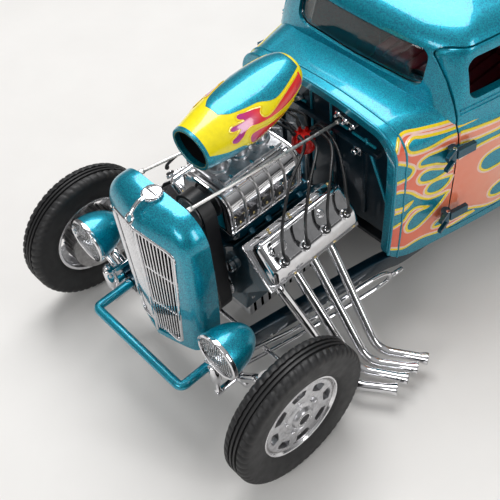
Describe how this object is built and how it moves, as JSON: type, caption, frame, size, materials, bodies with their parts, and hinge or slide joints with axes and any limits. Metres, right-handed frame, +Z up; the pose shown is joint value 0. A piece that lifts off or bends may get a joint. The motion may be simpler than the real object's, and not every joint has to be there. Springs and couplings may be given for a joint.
{
  "type": "scale model of a fenderless hot rod coupe with an open blown engine",
  "caption": "Die-cast style toy hot rod coupe: chopped hollow cab, opening doors and trunk, linked steering, rolling wheels and an exposed supercharged engine.",
  "frame": {"origin": "centre of the bounding box on the ground under the tyres", "axes": "+Z up, the nose faces -Y, the left side of the car is +X"},
  "size_m": [0.0998, 0.2156, 0.08],
  "materials": {
    "teal_paint": "gloss metallic",
    "dark_teal_paint": "gloss metallic",
    "scoop_paint": "gloss",
    "chrome": "polished",
    "brushed_metal": "satin",
    "black_plastic": "matt",
    "red_plastic": "gloss",
    "seat_plastic": "satin",
    "tyre_rubber": "matt",
    "clear_plastic": "clear"
  },
  "bodies": {
    "chassis": {"body_shell": "teal_paint", "firewall": "dark_teal_paint", "floor_pan": "black_plastic", "grille_shell": "teal_paint", "grille": "chrome", "radiator": "black_plastic", "radiator_cap": "chrome", "headlights": "teal_paint", "headlight_lenses": "clear_plastic", "bumper_bar": "teal_paint", "frame_rails": "dark_teal_paint", "crossmembers": "dark_teal_paint", "front_axle": "chrome", "front_suspension": "chrome", "radius_rods": "chrome", "engine_block": "dark_teal_paint", "cylinder_heads": "dark_teal_paint", "valve_covers": "chrome", "intake_manifold": "chrome", "blower": "chrome", "blower_drive": "chrome", "injector": "chrome", "scoop": "scoop_paint", "distributor": "red_plastic", "plug_wires": "black_plastic", "header_left": "chrome", "header_right": "chrome", "cowl_stays": "chrome", "gearbox": "brushed_metal", "rear_axle": "dark_teal_paint", "rear_suspension": "chrome", "seat": "seat_plastic", "dashboard": "dark_teal_paint", "steering_column": "black_plastic", "window_glass": "clear_plastic", "taillights": "red_plastic", "hinge_pins": "teal_paint"},
    "left_door": {"door_left": "teal_paint", "door_left_hinges": "teal_paint"},
    "right_door": {"door_right": "teal_paint", "door_right_hinges": "teal_paint"},
    "trunk_lid": {"trunk_lid": "teal_paint"},
    "left_knuckle": {"knuckle_left": "brushed_metal"},
    "right_knuckle": {"knuckle_right": "brushed_metal"},
    "tie_rod": {"tie_rod": "chrome"},
    "left_front_wheel": {"front_left_tyre": "tyre_rubber", "front_left_wheel": "brushed_metal"},
    "right_front_wheel": {"front_right_tyre": "tyre_rubber", "front_right_wheel": "brushed_metal"},
    "left_rear_wheel": {"rear_left_tyre": "tyre_rubber", "rear_left_wheel": "brushed_metal"},
    "right_rear_wheel": {"rear_right_tyre": "tyre_rubber", "rear_right_wheel": "brushed_metal"}
  },
  "joints": [
    {"name": "left_door_hinge", "type": "hinge", "parent": "chassis", "child": "left_door", "pos_m": [0.03132, -0.0239, 0.038], "axis": [0, 0, -1], "range_deg": [0, 65]},
    {"name": "right_door_hinge", "type": "hinge", "parent": "chassis", "child": "right_door", "pos_m": [-0.03132, -0.0239, 0.038], "axis": [0, 0, 1], "range_deg": [0, 65]},
    {"name": "trunk_hinge", "type": "hinge", "parent": "chassis", "child": "trunk_lid", "pos_m": [0, 0.0646, 0.06], "axis": [1, 0, 0], "range_deg": [0, 60]},
    {"name": "steer_left", "type": "hinge", "parent": "chassis", "child": "left_knuckle", "pos_m": [0.0315, -0.0882, 0.0196], "axis": [0, 0, 1], "range_deg": [-22, 22]},
    {"name": "steer_right", "type": "hinge", "parent": "chassis", "child": "right_knuckle", "pos_m": [-0.0315, -0.0882, 0.0196], "axis": [0, 0, 1], "range_deg": [-22, 22]},
    {"name": "tie_rod_end", "type": "hinge", "parent": "left_knuckle", "child": "tie_rod", "pos_m": [0.0315, -0.0782, 0.0124], "axis": [0, 0, 1], "range_deg": [-22, 22]},
    {"name": "left_front_wheel_spin", "type": "hinge", "parent": "left_knuckle", "child": "left_front_wheel", "pos_m": [0.0408, -0.0882, 0.0196], "axis": [1, 0, 0], "continuous": true},
    {"name": "right_front_wheel_spin", "type": "hinge", "parent": "right_knuckle", "child": "right_front_wheel", "pos_m": [-0.0408, -0.0882, 0.0196], "axis": [1, 0, 0], "continuous": true},
    {"name": "left_rear_wheel_spin", "type": "hinge", "parent": "chassis", "child": "left_rear_wheel", "pos_m": [0.042, 0.0698, 0.0226], "axis": [1, 0, 0], "continuous": true},
    {"name": "right_rear_wheel_spin", "type": "hinge", "parent": "chassis", "child": "right_rear_wheel", "pos_m": [-0.042, 0.0698, 0.0226], "axis": [1, 0, 0], "continuous": true}
  ],
  "couplings": [
    {"joint": "steer_right", "follows": "steer_left", "ratio": 1},
    {"joint": "tie_rod_end", "follows": "steer_left", "ratio": -1}
  ]
}
